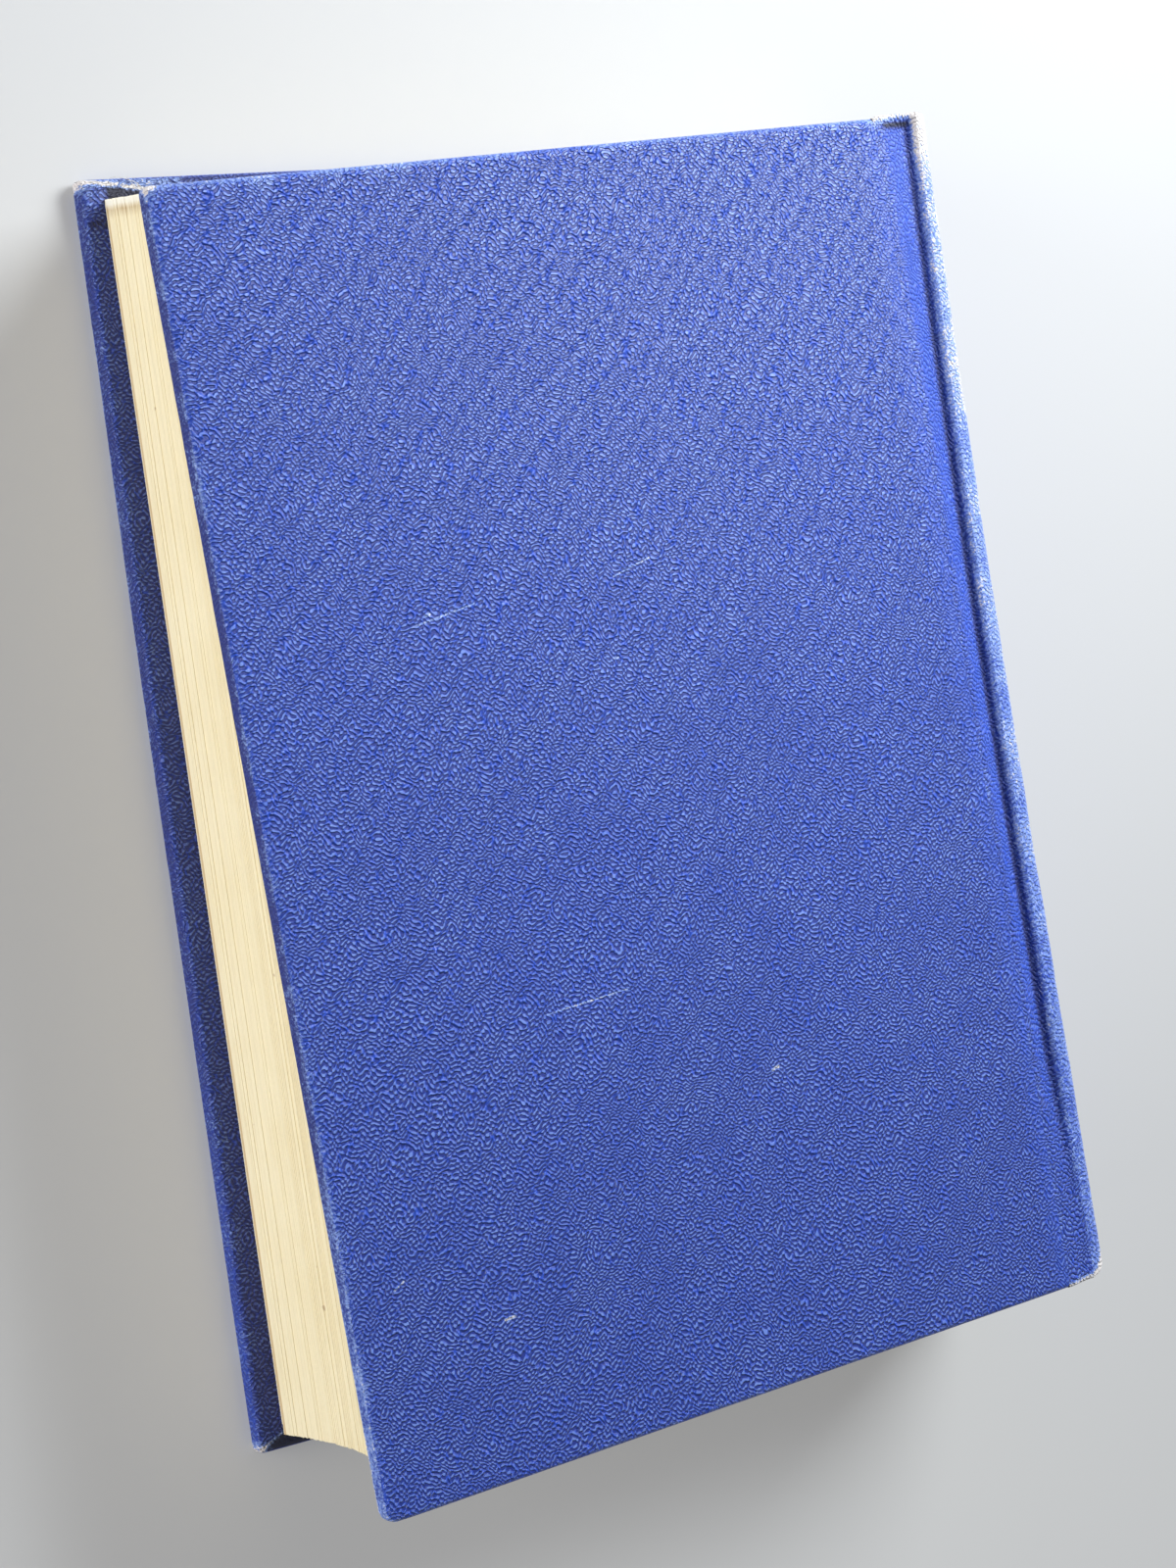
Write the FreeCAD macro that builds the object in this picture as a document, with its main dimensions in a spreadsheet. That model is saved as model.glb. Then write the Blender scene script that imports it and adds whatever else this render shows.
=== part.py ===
"""Hardback book: cloth-covered case on a rounded and backed text block.

The book lies on its front cover, back cover up. X runs from the fore edge to the spine, Y from the
tail to the head and Z up out of the back cover. The origin is the centre of the front cover's outer
face. The book is worn and cocked: each leaf is turned a little more than the one below it, and the
back cover is turned furthest, about the tail of the spine.
"""
import FreeCAD, Part
import math
import os
import re

SIZES = {
    # case: two covered boards
    "cover_width": 147.7,
    "cover_height": 215.0,
    "board_thick": 2.6,
    "cloth_thick": 0.4,
    "turn_in": 15.0,
    "corner_round": 2.2,
    "edge_round": 0.9,
    "board_edge_round": 0.4,
    # endpapers
    "paper_thick": 0.15,
    "pastedown_margin": 4.2,
    # text block
    "block_thick": 33.6,
    "fore_square": 4.2,
    "tail_square": 2.4,
    "head_square": 3.6,
    "fore_hollow": 3.2,
    "spine_round": 2.2,
    "shoulder_foot": 3.4,
    "shoulder_top": 1.0,
    "shoulder_inset": 0.2,
    "shoulder_rise": 2.0,
    # joints and spine
    "joint_width": 5.0,
    "joint_depth": 2.0,
    "hinge_reach": 1.5,
    "ridge_drop": 0.6,
    "ridge_reach": 2.0,
    "spine_corner": 4.2,
    "back_round": 1.2,
    "block_reach": 2.4,
    "inlay_thick": 0.7,
    "inlay_play": 0.05,
    "mull_thick": 0.25,
    "lining_thick": 0.25,
    "glue_line": 0.2,
    "lining_margin": 6.0,
    "cap_rise": 0.6,
    # how far the worn book has cocked
    "leaf_skew_deg": 1.3,
    "leaf_lean": 0.8,
    "back_skew_deg": 2.36,
    "back_slide": 0.67,
    "back_drop": 1.56,
}

DERIVED = {
    "cover_thick": "2 * cloth_thick + board_thick + paper_thick",
    "block_floor": "cover_thick + paper_thick",
    "block_ceiling": "block_floor + block_thick",
    "book_thick": "block_ceiling + paper_thick + cover_thick",
    "board_width": "cover_width - cloth_thick",
    "board_height": "cover_height - 2 * cloth_thick",
    "leaf_width": "cover_width + joint_width + block_reach - fore_square",
    "leaf_height": "cover_height - tail_square - head_square",
    "spine_edge": "cover_width / 2",
    "tail_edge": "-cover_height / 2",
    "valley": "spine_edge + joint_width",
    "leaf_edge": "valley + block_reach",
    "leaf_tail": "tail_edge + tail_square",
    "spine_height": "cover_height + cap_rise",
    "spine_slip": "spine_height * tan(leaf_skew_deg)",
    "spine_span": "spine_slip + ridge_reach + spine_corner + back_round + leaf_lean",
}

COVERS = {
    "front": {"turn": "0", "about": ("spine_edge", "tail_edge")},
    "back": {"turn": "back_skew_deg", "about": ("spine_edge + back_slide", "tail_edge - back_drop")},
}

# levels at which the curved text block takes a leaf's outline, less one
LEAF_STEPS = 8

doc = FreeCAD.newDocument("hardback_book")
sheet = doc.addObject("Spreadsheet::Sheet", "Sizes")


def fill_sheet():
    for line, (name, value) in enumerate(SIZES.items(), start=1):
        sheet.set(f"A{line}", name)
        sheet.set(f"B{line}", str(value))
        sheet.setAlias(f"B{line}", name)
    for line, (name, rule) in enumerate(DERIVED.items(), start=1):
        sheet.set(f"D{line}", name)
        sheet.set(f"E{line}", f"={rule}")
        sheet.setAlias(f"E{line}", name)
    doc.recompute()


def size(name):
    value = sheet.get(name)
    return float(getattr(value, "Value", value))


def in_sheet(rule):
    """Write a rule of plain size names as one on the sheet's cells."""
    known = {**SIZES, **DERIVED}
    return re.sub(r"[a-z]+(?:_[a-z]+)*", lambda m: "Sizes." + m[0] if m[0] in known else m[0], rule)


def bind(thing, **rules):
    """Bind properties to rules; an underscore in a property's name stands for a dot."""
    for name, rule in rules.items():
        thing.setExpression(name.replace("_", "."), in_sheet(rule))


def place(thing, x, y, z, turn="0", about=("0", "0")):
    """Bind a placement: x and y are measured from the point about, in axes turned by turn degrees."""
    bind(
        thing,
        Placement_Base_x=f"{about[0]} + ({x}) * cos({turn}) - ({y}) * sin({turn})",
        Placement_Base_y=f"{about[1]} + ({x}) * sin({turn}) + ({y}) * cos({turn})",
        Placement_Base_z=z,
    )
    thing.Placement.Rotation = FreeCAD.Rotation(FreeCAD.Vector(0, 0, 1), 1)
    bind(thing, Placement_Rotation_Angle=turn)


def cover_box(side, name, wide, low, tall, depth, thick):
    """A box in a cover: wide from the spine edge, low above the tail, depth in from the outer face."""
    box = doc.addObject("Part::Box", f"{side}_{name}")
    bind(box, Length=wide, Width=tall, Height=thick)
    level = depth if side == "front" else f"book_thick - ({depth}) - ({thick})"
    place(box, f"-({wide})", low, level, COVERS[side]["turn"], COVERS[side]["about"])
    return box


def rounded(thing, name, radius, blank, chosen):
    """Fillet the edges whose ends pass the test chosen, in the axes of the blank they were cut from."""
    doc.recompute()
    own = blank.Placement.inverse()
    picked = []
    for number, edge in enumerate(thing.Shape.Edges, start=1):
        ends = [own.multVec(vertex.Point) for vertex in edge.Vertexes]
        if chosen(*ends):
            picked.append((number, radius, radius))
    fillet = doc.addObject("Part::Fillet", name)
    fillet.Base = thing
    fillet.Edges = picked
    doc.recompute()
    return fillet


def near(a, b):
    return abs(a - b) < 1e-4


def upright_at_fore_edge(a, b):
    return near(a.x, 0) and near(b.x, 0) and not near(a.z, b.z)


def round_the_faces(wide):
    """The edges round both faces, apart from the spine side's, which are wide from the fore edge."""
    def chosen(a, b):
        return near(a.z, b.z) and not (near(a.x, wide) and near(b.x, wide))
    return chosen


def rounded_panel(side, name, blank, corner, edge):
    """A box with rounded corners at the fore edge and rounded edges but for the spine side."""
    corners = rounded(blank, f"{side}_{name}_corners", corner, blank, upright_at_fore_edge)
    return rounded(corners, f"{side}_{name}", edge, blank, round_the_faces(blank.Length.Value))


def combine(kind, name, *things):
    """Part::Cut and Part::Common take a base and a tool, Part::MultiFuse any number of things."""
    result = doc.addObject(kind, name)
    if kind == "Part::MultiFuse":
        result.Shapes = list(things)
    else:
        result.Base, result.Tool = things
    return result


def covered_board(side):
    """Board, the cloth turned in over three of its edges, and the endpaper pasted inside."""
    blank = cover_box(side, "board_blank", "board_width", "cloth_thick", "board_height",
                      "cloth_thick", "board_thick")
    board = rounded_panel(side, "board", blank, size("corner_round") - size("cloth_thick"),
                          size("board_edge_round"))

    wrap = cover_box(side, "wrap", "cover_width", "0", "cover_height", "0",
                     "board_thick + 2 * cloth_thick")
    wrap_round = rounded_panel(side, "wrap_round", wrap, size("corner_round"), size("edge_round"))
    window = cover_box(side, "window", "cover_width - turn_in", "turn_in",
                       "cover_height - 2 * turn_in", "cloth_thick + board_thick", "cloth_thick")
    hollow = combine("Part::Cut", f"{side}_wrap_hollow", wrap_round, board)
    cloth = combine("Part::Cut", f"{side}_cover_cloth", hollow, window)

    on_cloth = cover_box(side, "paste_on_cloth", "cover_width - pastedown_margin", "pastedown_margin",
                         "cover_height - 2 * pastedown_margin", "cover_thick - paper_thick",
                         "paper_thick")
    above = cover_box(side, "paste_above", "cover_width - turn_in - paper_thick",
                      "turn_in + paper_thick", "cover_height - 2 * turn_in - 2 * paper_thick",
                      "cloth_thick + board_thick + paper_thick", "cloth_thick")
    stepped = combine("Part::MultiFuse", f"{side}_paste_step", on_cloth, window)
    pastedown = combine("Part::Cut", f"{side}_pastedown", stepped, above)
    return {f"{side}_board": board, f"{side}_cover_cloth": cloth, f"{side}_pastedown": pastedown}


def leaf_plane(name, share, left, right, level):
    """A leaf-high rectangle turned by its share of the skew; left and right from the leaf's edge."""
    plane = doc.addObject("Part::Plane", name)
    bind(plane, Length=f"({right}) - ({left})", Width="leaf_height")
    place(plane, left, "0", level, f"(leaf_skew_deg * {share})",
          (f"leaf_edge + leaf_lean * {share}", "leaf_tail"))
    return plane


def lofted(name, sections, ruled):
    loft = doc.addObject("Part::Loft", name)
    loft.Sections = sections
    loft.Solid = True
    loft.Ruled = ruled
    return loft


def text_block():
    """The leaves as one solid: hollow fore edge, rounded spine and backed shoulders."""
    leaves = []
    for step in range(LEAF_STEPS + 1):
        share = round((1 - math.cos(math.pi * step / LEAF_STEPS)) / 2, 4)
        swell = round(1 - (2 * share - 1) ** 2, 4)
        leaves.append(leaf_plane(f"leaf_{step}", share, f"fore_hollow * {swell} - leaf_width",
                                 f"spine_round * {swell}", f"block_floor + block_thick * {share}"))
    pieces = [lofted("leaves", leaves, False)]
    ends = (("front", 0, "block_floor", "-"), ("back", 1, "block_ceiling", "+"))
    for side, share, face, outward in ends:
        foot = leaf_plane(f"{side}_shoulder_foot", share, "-shoulder_foot", "0", face)
        top = leaf_plane(f"{side}_shoulder_top", share, "-shoulder_inset - shoulder_top",
                         "-shoulder_inset", f"{face} {outward} shoulder_rise")
        pieces.append(lofted(f"{side}_shoulder", [foot, top], True))
    return combine("Part::MultiFuse", "text_block", *pieces)


def flyleaf(side, share, level):
    leaf = doc.addObject("Part::Box", f"{side}_flyleaf")
    bind(leaf, Length="leaf_width - shoulder_foot", Width="leaf_height", Height="paper_thick")
    place(leaf, "-leaf_width", "0", level, f"(leaf_skew_deg * {share})",
          (f"leaf_edge + leaf_lean * {share}", "leaf_tail"))
    return leaf


def skewed(reach, height, level):
    """A point of the spine: reach beyond the joint's valley, height above the tail, at a level."""
    share = min(max((level - size("block_floor")) / size("block_thick"), 0), 1)
    lean = size("leaf_lean") * share
    slip = height * math.tan(math.radians(size("leaf_skew_deg") * share))
    return FreeCAD.Vector(size("valley") + reach + lean - slip, size("tail_edge") + height, level)


def curve(points):
    """A line through two points or an arc through three."""
    if len(points) == 2:
        return Part.makeLine(*points)
    return Part.Arc(*points).toShape()


def outline(name, runs):
    """A closed wire from runs of two or three points, each starting where the last one ended."""
    wire = doc.addObject("Part::Feature", name)
    wire.Shape = Part.Wire([curve(run) for run in runs])
    return wire


def shell_runs(height):
    """A C-shaped strip of cloth round the spine, from one hinge line to the other."""
    thick = size("book_thick")
    reach, drop, corner = size("ridge_reach"), size("ridge_drop"), size("spine_corner")
    slant = math.sqrt(0.5)

    def path(depth):
        bend = corner - depth
        low = drop + depth
        side = [(size("hinge_reach"), low), (reach, low),
                (reach + bend * slant, drop + corner - bend * slant), (reach + bend, drop + corner)]
        middle = (reach + bend + size("back_round"), thick / 2)
        points = side + [middle] + [(x, thick - z) for x, z in reversed(side)]
        return [skewed(x, height, z) for x, z in points]

    outer = path(0)
    inner = path(size("cloth_thick"))[::-1]
    runs = []
    for face, opposite in ((outer, inner), (inner, outer)):
        runs += [face[0:2], face[1:4], face[3:6], face[5:8], face[7:9], [face[-1], opposite[0]]]
    return runs


def band_runs(height, left, right, edge, bow):
    """A strip over the flat of the spine between two reaches, starting edge above the lower face."""
    thick = size("book_thick")
    faces = []
    for reach in (left, right):
        points = [(reach, edge), (reach + bow, thick / 2), (reach, thick - edge)]
        faces.append([skewed(x, height, z) for x, z in points])
    near_face, far_face = faces
    return [far_face, [far_face[2], near_face[2]], near_face[::-1], [near_face[0], far_face[0]]]


def spine_loft(name, low, high, runs_at):
    """Loft one outline from a height above the tail to another."""
    ends = [outline(f"{name}_{end}", runs_at(height)) for end, height in (("tail", low), ("head", high))]
    return lofted(name, ends, True)


def spine_limits(name, margin):
    """A box round the spine that leaves a margin off at its tail and head."""
    box = doc.addObject("Part::Box", name)
    bind(box, Length="spine_span", Width=f"spine_height - 2 * {margin}", Height="book_thick")
    place(box, "valley - spine_slip", f"tail_edge + {margin}", "0")
    return box


def spine_parts():
    """Cloth round the spine with its turned-in ends, the card inside it, and the block's linings."""
    cloth, card, play = size("cloth_thick"), size("inlay_thick"), size("inlay_play")
    tall = size("spine_height")
    edge = size("ridge_drop") + size("spine_corner")
    face = size("ridge_reach") + size("spine_corner") - cloth
    pocket = card + 2 * play
    bow = size("back_round")

    def band(name, left):
        return spine_loft(name, 0, tall, lambda y: band_runs(y, left, face, edge, bow))

    skin = spine_loft("spine_skin", 0, tall, shell_runs)
    turned = band("turned_in", face - pocket - cloth)
    room = band("inlay_room", face - pocket)
    inlay_pocket = combine("Part::Common", "inlay_pocket", room, spine_limits("cap_limits", "cloth_thick"))
    turned_cap = combine("Part::Cut", "turned_cap", turned, inlay_pocket)
    turned_ends = combine("Part::Cut", "turned_ends", turned_cap, spine_limits("ends_limits", "turn_in"))
    spine_cloth = combine("Part::MultiFuse", "spine_cloth", skin, turned_ends)

    inlay = spine_loft("spine_inlay", cloth + play, tall - cloth - play,
                       lambda y: band_runs(y, face - play - card, face - play, edge + play, bow))

    def lining(name, left, thick):
        low = size("tail_square") + size("lining_margin")
        high = size("cover_height") - size("head_square") - size("lining_margin")
        return spine_loft(name, low, high,
                          lambda y: band_runs(y, left, left + thick, size("block_floor"), size("spine_round")))

    mull_reach = size("block_reach") + size("glue_line")
    lining_reach = mull_reach + size("mull_thick") + size("glue_line")
    return {
        "spine_cloth": spine_cloth,
        "spine_inlay": inlay,
        "mull": lining("mull", mull_reach, size("mull_thick")),
        "spine_lining": lining("spine_lining", lining_reach, size("lining_thick")),
    }


def joint_cloth(side):
    """The strip of cloth in the groove, from the board's edge over the valley to the hinge line."""
    wrap = doc.getObject(f"{side}_wrap")

    def level(depth):
        return depth if side == "front" else size("book_thick") - depth

    ends = []
    for end, height in (("tail", 0), ("head", size("cover_height"))):
        board = wrap.Placement.multVec(FreeCAD.Vector(size("cover_width"), height, 0))
        ridge = skewed(size("hinge_reach"), height, level(size("ridge_drop")))
        line = ((board, 0), ((board + ridge) / 2, size("joint_depth")), (ridge, size("ridge_drop")))
        faces = []
        for inset in (0, size("cloth_thick")):
            faces.append([FreeCAD.Vector(at.x, at.y, level(depth + inset)) for at, depth in line])
        outer, inner = faces
        ends.append(outline(f"{side}_joint_{end}",
                            [outer, [outer[2], inner[2]], inner[::-1], [inner[0], outer[0]]]))
    return lofted(f"{side}_joint_cloth", ends, True)


def main():
    fill_sheet()
    nodes = {}
    for side in COVERS:
        nodes.update(covered_board(side))
        nodes[f"{side}_joint_cloth"] = joint_cloth(side)
    nodes["text_block"] = text_block()
    nodes["front_flyleaf"] = flyleaf("front", 0, "cover_thick")
    nodes["back_flyleaf"] = flyleaf("back", 1, "block_ceiling")
    nodes.update(spine_parts())
    doc.recompute()

    for thing in doc.Objects:
        if "Invalid" in thing.State or "Error" in thing.State:
            raise RuntimeError(f"{thing.Name} failed: {thing.State}")
    os.makedirs("parts", exist_ok=True)
    for name, thing in nodes.items():
        thing.Label = name
        shape = thing.Shape
        if shape.isNull() or not shape.isValid() or len(shape.Solids) != 1:
            raise RuntimeError(f"{name} is not one valid solid")
        box = shape.BoundBox
        print(f"{name:20s} {shape.Volume:12.1f} mm3  x {box.XMin:8.2f} {box.XMax:8.2f}"
              f"  y {box.YMin:8.2f} {box.YMax:8.2f}  z {box.ZMin:6.2f} {box.ZMax:6.2f}")
        shape.exportStep(f"parts/{name}.step")


main()
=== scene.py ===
import bmesh
import bpy
import math
import numpy as np
from mathutils import Matrix, Vector, noise


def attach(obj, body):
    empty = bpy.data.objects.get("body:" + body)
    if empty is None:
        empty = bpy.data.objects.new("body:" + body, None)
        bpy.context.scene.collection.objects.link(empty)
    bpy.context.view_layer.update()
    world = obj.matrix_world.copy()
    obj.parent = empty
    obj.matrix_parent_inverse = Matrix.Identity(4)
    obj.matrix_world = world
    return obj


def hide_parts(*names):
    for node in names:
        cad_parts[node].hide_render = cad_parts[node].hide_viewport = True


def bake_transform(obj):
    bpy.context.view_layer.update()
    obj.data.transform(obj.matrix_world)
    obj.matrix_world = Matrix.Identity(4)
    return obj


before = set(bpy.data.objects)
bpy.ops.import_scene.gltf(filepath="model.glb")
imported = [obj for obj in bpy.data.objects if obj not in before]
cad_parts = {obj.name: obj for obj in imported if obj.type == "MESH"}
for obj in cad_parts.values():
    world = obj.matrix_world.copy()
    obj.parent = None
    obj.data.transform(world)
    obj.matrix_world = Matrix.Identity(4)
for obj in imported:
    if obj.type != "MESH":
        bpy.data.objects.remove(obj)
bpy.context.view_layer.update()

# Lengths are in millimetres until mesh_piece scales them.
MM = 0.001

# Covers: width, height and thickness of a covered board, and the thickness of the closed book.
# Each turns about its tail corner at the spine. Its rim and its tail and head corners are rounded.
COVER_W, COVER_H, COVER_T, THICK = 147.7, 215.0, 3.4, 41.0
TURN_IN, CLOTH = 15.0, 0.4
COVERS = {
    "front": {"turn": 0.0, "about": (73.85, -107.5), "edge": 1.0, "corners": (1.2, 0.9)},
    "back": {"turn": math.radians(2.36), "about": (74.52, -109.06), "edge": 0.95, "corners": (2.0, 1.2)},
}
COVER_STEPS_ACROSS, COVER_STEPS_UP = 84, 116

# Leaves: level of the first, thickness of them all, their spine edge, tail, width and height, the
# hollow of the fore edge, the round of the spine, and the shoulders. They turn and lean as they rise.
FLOOR, BLOCK = 3.7, 33.6
LEAF_EDGE, LEAF_TAIL, LEAF_W, LEAF_H = 81.25, -105.1, 150.9, 209.0
FORE_HOLLOW, SPINE_ROUND = 3.2, 2.2
SHOULDER_FOOT, SHOULDER_TOP, SHOULDER_INSET, SHOULDER_RISE = 3.4, 1.2, 0.2, 2.0
SKEW, LEAN = math.radians(1.3), 0.8
LEAF_GROUPS, WIDE_STEPS, TALL_STEPS, CORNER_PULL = 150, 40, 34, 0.95

# Spine: the bottom of the groove beside it, its tail and height, and the shape of its section.
VALLEY, TAIL, TALL = 78.85, -107.5, 215.45
RIDGE_REACH, RIDGE_DROP, SPINE_CORNER, BACK_ROUND = 2.0, 0.6, 4.2, 1.2
CORNER_STEPS, BACK_STEPS = 12, 24
# How far its upper side stands lower at the tail and at the head, bows in, and sinks at the head.
UPPER_TAIL, UPPER_HEAD, SPINE_BOW, HEAD_SINK = 1.2, 1.25, 1.5, 0.5
# Two layers of cloth with their glue, the card's room between them, and the card's two faces.
TWO_CLOTHS, CARD_ROOM, CARD_FACES, CARD_MARGIN = 0.85, 0.75, (0.45, 1.15), 0.6

# Joints: from the bottom of the groove to the hinge line, the groove's depth, its depth at the tail
# of the back cover, where it is shallower, and the length that bends.
HINGE_REACH, JOINT_DEPTH, TAIL_JOINT_DEPTH, JOINT_RUN = 1.5, 2.0, 0.7, 6.3
# Points across a joint, and how far its paper stays from the cloth's outer face and from the ends.
JOINT_STEPS, PAPER_LIFT, PAPER_MARGIN = 27, 0.95, 3.4

# Loose threads at a knocked corner: reach, rise, curl and drop of each.
THREADS = ((5.5, 1.2, 1.4, 1.0), (3.0, 2.6, -0.9, -0.6), (2.2, 0.2, 0.8, 1.8))

# The camera as fitted to the photograph: place in metres, line of sight, upward direction, lens.
CAMERA_AT, CAMERA_LENS = (-0.3414, 0.01804, 0.52425), 80.06
CAMERA_LOOK, CAMERA_UP = (0.559, -0.0371, -0.8283), (0.1364, 0.9895, 0.0477)

# Strength of the room's light and of what the camera sees of it, and the floor's glow to the camera.
ROOM_LIGHT, ROOM_SEEN, GLOW_NEAR, GLOW_FAR = 0.17, 0.48, 0.22, 0.38


def lerp(a, b, t):
    return a + (b - a) * t


def smooth(low, high, x):
    t = np.clip((x - low) / (high - low), 0, 1)
    return t * t * (3 - 2 * t)


def bump(x, centre, width):
    return np.exp(-((x - centre) / width) ** 2)


def rough(points, pitch, seed):
    """Smooth noise of about -1 to 1 at each point."""
    return np.array([noise.noise(Vector(p / pitch) + Vector((seed, 3.1 * seed, -seed))) for p in points])


# Meshes
def mesh_piece(name, points, faces, material, body, flip=False, soft_angle=None, **attributes):
    """A mesh from points in millimetres, with its rest place and other values kept per point."""
    points = np.asarray(points, float)
    if flip:
        faces = [tuple(reversed(f)) for f in faces]
    mesh = bpy.data.meshes.new(name)
    mesh.from_pydata((points * MM).tolist(), [], faces)
    rest = mesh.attributes.new("rest", "FLOAT_VECTOR", "POINT")
    rest.data.foreach_set("vector", points.astype(np.float32).ravel())
    for key, values in attributes.items():
        layer = mesh.attributes.new(key, "FLOAT", "POINT")
        layer.data.foreach_set("value", np.asarray(values, np.float32).ravel())
    mesh.validate()
    mesh.shade_smooth()
    if soft_angle:
        mesh.set_sharp_from_angle(angle=math.radians(soft_angle))
    piece = bpy.data.objects.new(name, mesh)
    bpy.context.collection.objects.link(piece)
    mesh.materials.append(material)
    if body:
        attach(piece, body)
    return piece


def grid_faces(rows, columns, start=0, wrap=False):
    """Quads over points stored row by row."""
    faces = []
    for r in range(rows - 1):
        for c in range(columns if wrap else columns - 1):
            d = (c + 1) % columns
            a = start + r * columns
            faces.append((a + c, a + d, a + columns + d, a + columns + c))
    return faces


def spread(count, pull=0.75):
    """Shares from 0 to 1, closer together at both ends."""
    s = np.linspace(0, 1, count + 1)
    return s - pull * np.sin(2 * np.pi * s) / (2 * np.pi)


# Shader helpers
class Nodes:
    """Short names for the nodes of one material."""

    def __init__(self, name):
        self.material = bpy.data.materials.new(name)
        self.material.use_nodes = True
        self.tree = self.material.node_tree
        self.shader = self.tree.nodes["Principled BSDF"]

    def node(self, kind, inputs=None, **settings):
        made = self.tree.nodes.new(kind)
        for key, value in settings.items():
            setattr(made, key, value)
        for key, value in (inputs or {}).items():
            self.feed(made.inputs[key], value)
        return made

    def feed(self, socket, value):
        if isinstance(value, bpy.types.NodeSocket):
            self.tree.links.new(value, socket)
        else:
            socket.default_value = value

    def attribute(self, name, output="Fac"):
        return self.node("ShaderNodeAttribute", attribute_name=name).outputs[output]

    def math(self, kind, a, b=0.0):
        return self.node("ShaderNodeMath", {0: a, 1: b}, operation=kind).outputs["Value"]

    def vector(self, kind, a, b, output="Vector"):
        return self.node("ShaderNodeVectorMath", {0: a, 1: b}, operation=kind).outputs[output]

    def object_place(self):
        """The place in the object's own space, in millimetres."""
        return self.vector("MULTIPLY", self.node("ShaderNodeTexCoord").outputs["Object"], (1 / MM,) * 3)

    def between(self, value, low, high, to_low=0.0, to_high=1.0):
        """A smooth step from to_low to to_high as the value goes from low to high."""
        made = self.node("ShaderNodeMapRange", interpolation_type="SMOOTHSTEP")
        for key, item in zip(("Value", "From Min", "From Max", "To Min", "To Max"),
                             (value, low, high, to_low, to_high)):
            self.feed(made.inputs[key], item)
        return made.outputs["Result"]

    def mix(self, share, a, b, blend="MIX"):
        """Two colours mixed. A Mix node's colours are its inputs 6 and 7 and its output 2."""
        made = self.node("ShaderNodeMix", data_type="RGBA", blend_type=blend, clamp_factor=True)
        for socket, value in ((made.inputs["Factor"], share), (made.inputs[6], a), (made.inputs[7], b)):
            self.feed(socket, colour(value))
        return made.outputs[2]

    def noise(self, place, pitch, detail, roughness):
        inputs = {"Vector": place, "Scale": 1 / pitch, "Detail": detail, "Roughness": roughness}
        return self.node("ShaderNodeTexNoise", inputs).outputs["Fac"]

    def waves(self, place, pitch, count=8):
        """Ripples of one pitch in many directions, which together make a maze of short ridges."""
        total = 0.0
        for k in range(count):
            angle = 0.58 + 0.28 * k + 0.08 * math.sin(5.0 * k)
            size = 2 * math.pi / (pitch * (1 + 0.12 * math.sin(3.0 * k)))
            along = (size * math.cos(angle), size * math.sin(angle), size * 0.6 * math.cos(7.0 * k))
            reach = self.vector("DOT_PRODUCT", place, along, "Value")
            total = self.math("ADD", total, self.math("SINE", self.math("ADD", reach, 1.7 * k)))
        return self.math("DIVIDE", total, math.sqrt(count / 2))

    def pushed(self, place, pitch, amount):
        """Places moved smoothly, by up to the amount along each axis."""
        inputs = {"Vector": place, "Scale": 1 / pitch, "Detail": 0.0}
        wander = self.node("ShaderNodeTexNoise", inputs).outputs["Color"]
        return self.vector("ADD", place, self.vector("MULTIPLY", wander, (amount,) * 3))

    def near_line(self, place, a, b, width):
        """One along the line from a to b, falling to nothing at the width from it."""
        run = Vector(b) - Vector(a)
        away = self.vector("SUBTRACT", place, a)
        along = self.vector("DOT_PRODUCT", away, tuple(run / run.length_squared), "Value")
        along = self.math("MAXIMUM", self.math("MINIMUM", along, 1.0), 0.0)
        inputs = {0: tuple(run), "Scale": along}
        foot = self.node("ShaderNodeVectorMath", inputs, operation="SCALE").outputs["Vector"]
        gap = self.vector("DISTANCE", away, foot, "Value")
        return self.between(gap, width * 0.3, width, 1.0, 0.0)

    def stretched(self, place, scale):
        return self.node("ShaderNodeMapping", {"Vector": place, "Scale": scale}).outputs["Vector"]

    def bump(self, height, depth, strength=1.0):
        inputs = {"Height": height, "Distance": depth * MM, "Strength": strength}
        return self.node("ShaderNodeBump", inputs).outputs["Normal"]

    def surface(self, **values):
        """The material, with these values or sockets fed to its shader."""
        for key, value in values.items():
            self.feed(self.shader.inputs[key.replace("_", " ")], colour(value))
        return self.material


def colour(value):
    """A colour of three numbers with its alpha added, and anything else as it is."""
    return (*value, 1.0) if isinstance(value, tuple) and len(value) == 3 else value


# Materials: the cloth's ground colours, its painted shade and nearly black painted shadow, pale blue for worn
# cloth and for the painted highlight on the tops of its grain, the painted shade in its pits, and its bare
# fibres.
BLUE = (0.010, 0.066, 0.53)
WARM_BLUE = (0.016, 0.069, 0.50)
SMOOTH_BLUE = (0.050, 0.115, 0.58)
SHADOW_BLUE = (0.004, 0.006, 0.03)
PALE_BLUE = (0.26, 0.39, 0.80)
PIT_SHADE = (0.25, 0.25, 0.38)
SHADE_BLUE = (0.008, 0.020, 0.19)
FIBRE = (0.70, 0.65, 0.64)

# Scratches and specks on the face of the cover that lies on top: ends and width.
SCUFFS = (
    ((-45.2, 26.1), (-32.6, 28.7), 0.3),
    ((-42.3, 27.7), (-41.5, 27.9), 0.5),
    ((-4.2, 30.3), (3.6, 32.7), 0.26),
    ((-30.2, -40.2), (-13.2, -38.7), 0.24),
    ((14.4, -57.6), (15.8, -57.2), 0.45),
    ((-46.1, -87.8), (-44.1, -87.6), 0.4),
    ((-66.0, -78.7), (-64.0, -77.5), 0.28),
    ((-6.6, 16.6), (-5.6, 16.6), 0.32),
)


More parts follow.
